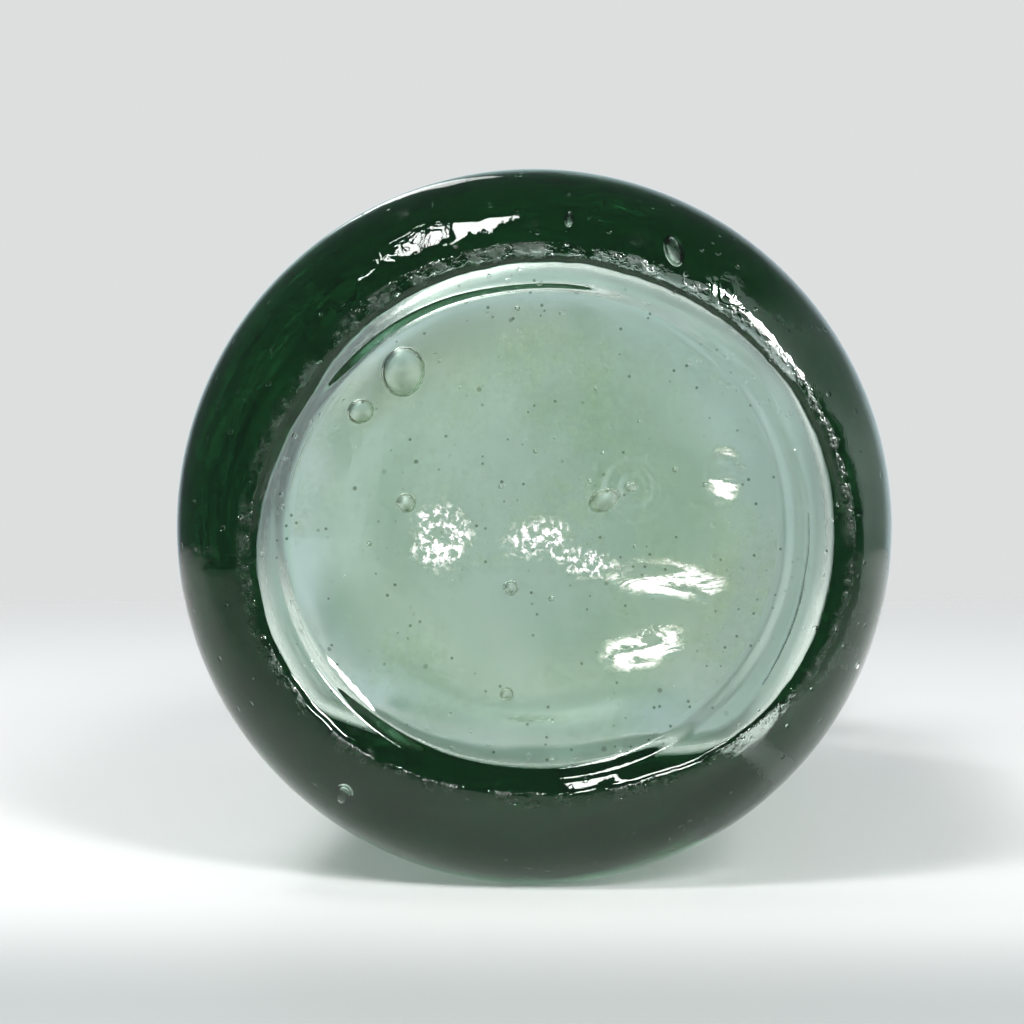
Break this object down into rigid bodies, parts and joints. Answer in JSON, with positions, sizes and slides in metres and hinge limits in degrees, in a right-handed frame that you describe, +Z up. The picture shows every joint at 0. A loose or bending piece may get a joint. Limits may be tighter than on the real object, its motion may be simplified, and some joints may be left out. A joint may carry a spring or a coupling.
{
  "type": "glass soda bottle",
  "caption": "Thick seedy green glass soda bottle on its side, with a pushed-up base, crimped neck, and a captive marble that seals on a rubber ring in the lip.",
  "frame": {"origin": "on the surface that the bottle lies on, under the middle of its length", "axes": "the bottle's axis lies along +Y, from the base at -Y to the mouth at +Y, and +Z is up from the surface it lies on"},
  "size_m": [0.06, 0.23, 0.06],
  "materials": {
    "green_glass": "old blown soda glass with seeds, wear marks and a slightly wavy surface",
    "marble_glass": "polished pale green glass with small seeds",
    "seal_rubber": "aged black rubber, matt"
  },
  "bodies": {
    "bottle": {"bottle_glass": "green_glass", "sealing_ring": "seal_rubber"},
    "marble": {"glass_marble": "marble_glass"}
  },
  "joints": [
    {"name": "marble_travel", "type": "slide", "parent": "bottle", "child": "marble", "axis": [0, 0.9951, 0.0987], "range_m": [0, 0.0324]}
  ]
}
